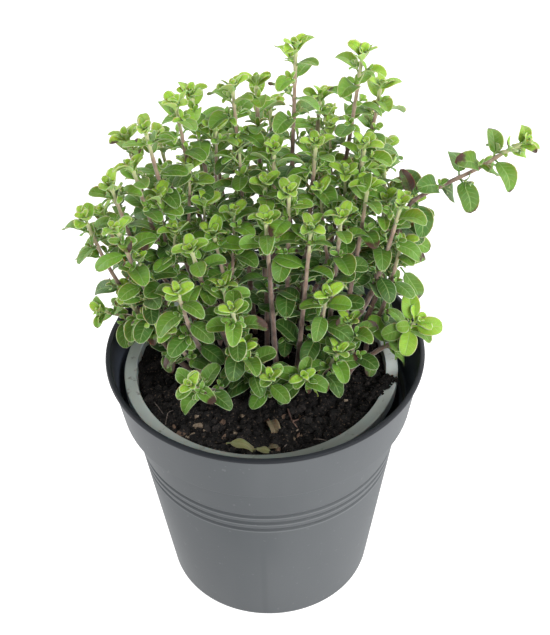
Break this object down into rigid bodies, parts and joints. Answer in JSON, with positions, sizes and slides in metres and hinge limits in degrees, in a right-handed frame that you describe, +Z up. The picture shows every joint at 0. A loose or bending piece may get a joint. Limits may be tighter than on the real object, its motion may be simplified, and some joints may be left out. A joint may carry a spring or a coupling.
{
  "type": "potted marjoram",
  "caption": "Potted marjoram: a leafy clump of square stems with paired oval leaves, in a pale nursery pot inside a tapered dark cover pot.",
  "frame": {"origin": "on the ground, at the middle of the cover pot's flat underside", "axes": "+Z up along the pots' axis; +X to the right in the picture; +Y away from its camera"},
  "size_m": [0.204, 0.1706, 0.2836],
  "materials": {
    "cover_pot_plastic": "satin",
    "nursery_pot_plastic": "satin",
    "peat_soil": "matte",
    "marjoram_leaf": "matte"
  },
  "bodies": {
    "root": {"cover_pot": "cover_pot_plastic", "nursery_pot": "nursery_pot_plastic", "soil": "peat_soil", "leafy_stem_01": "marjoram_leaf", "leafy_stem_02": "marjoram_leaf", "leafy_stem_03": "marjoram_leaf", "leafy_stem_04": "marjoram_leaf", "leafy_stem_05": "marjoram_leaf", "leafy_stem_06": "marjoram_leaf", "leafy_stem_07": "marjoram_leaf", "leafy_stem_08": "marjoram_leaf", "leafy_stem_09": "marjoram_leaf", "leafy_stem_10": "marjoram_leaf", "leafy_stem_11": "marjoram_leaf", "leafy_stem_12": "marjoram_leaf", "leafy_stem_13": "marjoram_leaf", "leafy_stem_14": "marjoram_leaf", "leafy_stem_15": "marjoram_leaf", "leafy_stem_16": "marjoram_leaf", "leafy_stem_17": "marjoram_leaf", "leafy_stem_18": "marjoram_leaf", "leafy_stem_19": "marjoram_leaf", "leafy_stem_20": "marjoram_leaf", "leafy_stem_21": "marjoram_leaf", "leafy_stem_22": "marjoram_leaf", "leafy_stem_23": "marjoram_leaf", "leafy_stem_24": "marjoram_leaf", "leafy_stem_25": "marjoram_leaf", "leafy_stem_26": "marjoram_leaf", "leafy_stem_27": "marjoram_leaf", "leafy_stem_28": "marjoram_leaf", "leafy_stem_29": "marjoram_leaf", "leafy_stem_30": "marjoram_leaf", "leafy_stem_31": "marjoram_leaf", "leafy_stem_32": "marjoram_leaf", "leafy_stem_33": "marjoram_leaf", "leafy_stem_34": "marjoram_leaf", "leafy_stem_35": "marjoram_leaf", "leafy_stem_36": "marjoram_leaf", "leafy_stem_37": "marjoram_leaf", "leafy_stem_38": "marjoram_leaf", "leafy_stem_39": "marjoram_leaf", "leafy_stem_40": "marjoram_leaf", "leafy_stem_41": "marjoram_leaf", "leafy_stem_42": "marjoram_leaf", "leafy_stem_43": "marjoram_leaf", "leafy_stem_44": "marjoram_leaf", "leafy_stem_45": "marjoram_leaf", "leafy_stem_46": "marjoram_leaf", "leafy_stem_47": "marjoram_leaf", "leafy_stem_48": "marjoram_leaf", "leafy_stem_49": "marjoram_leaf", "leafy_stem_50": "marjoram_leaf", "leafy_stem_51": "marjoram_leaf"}
  },
  "joints": []
}
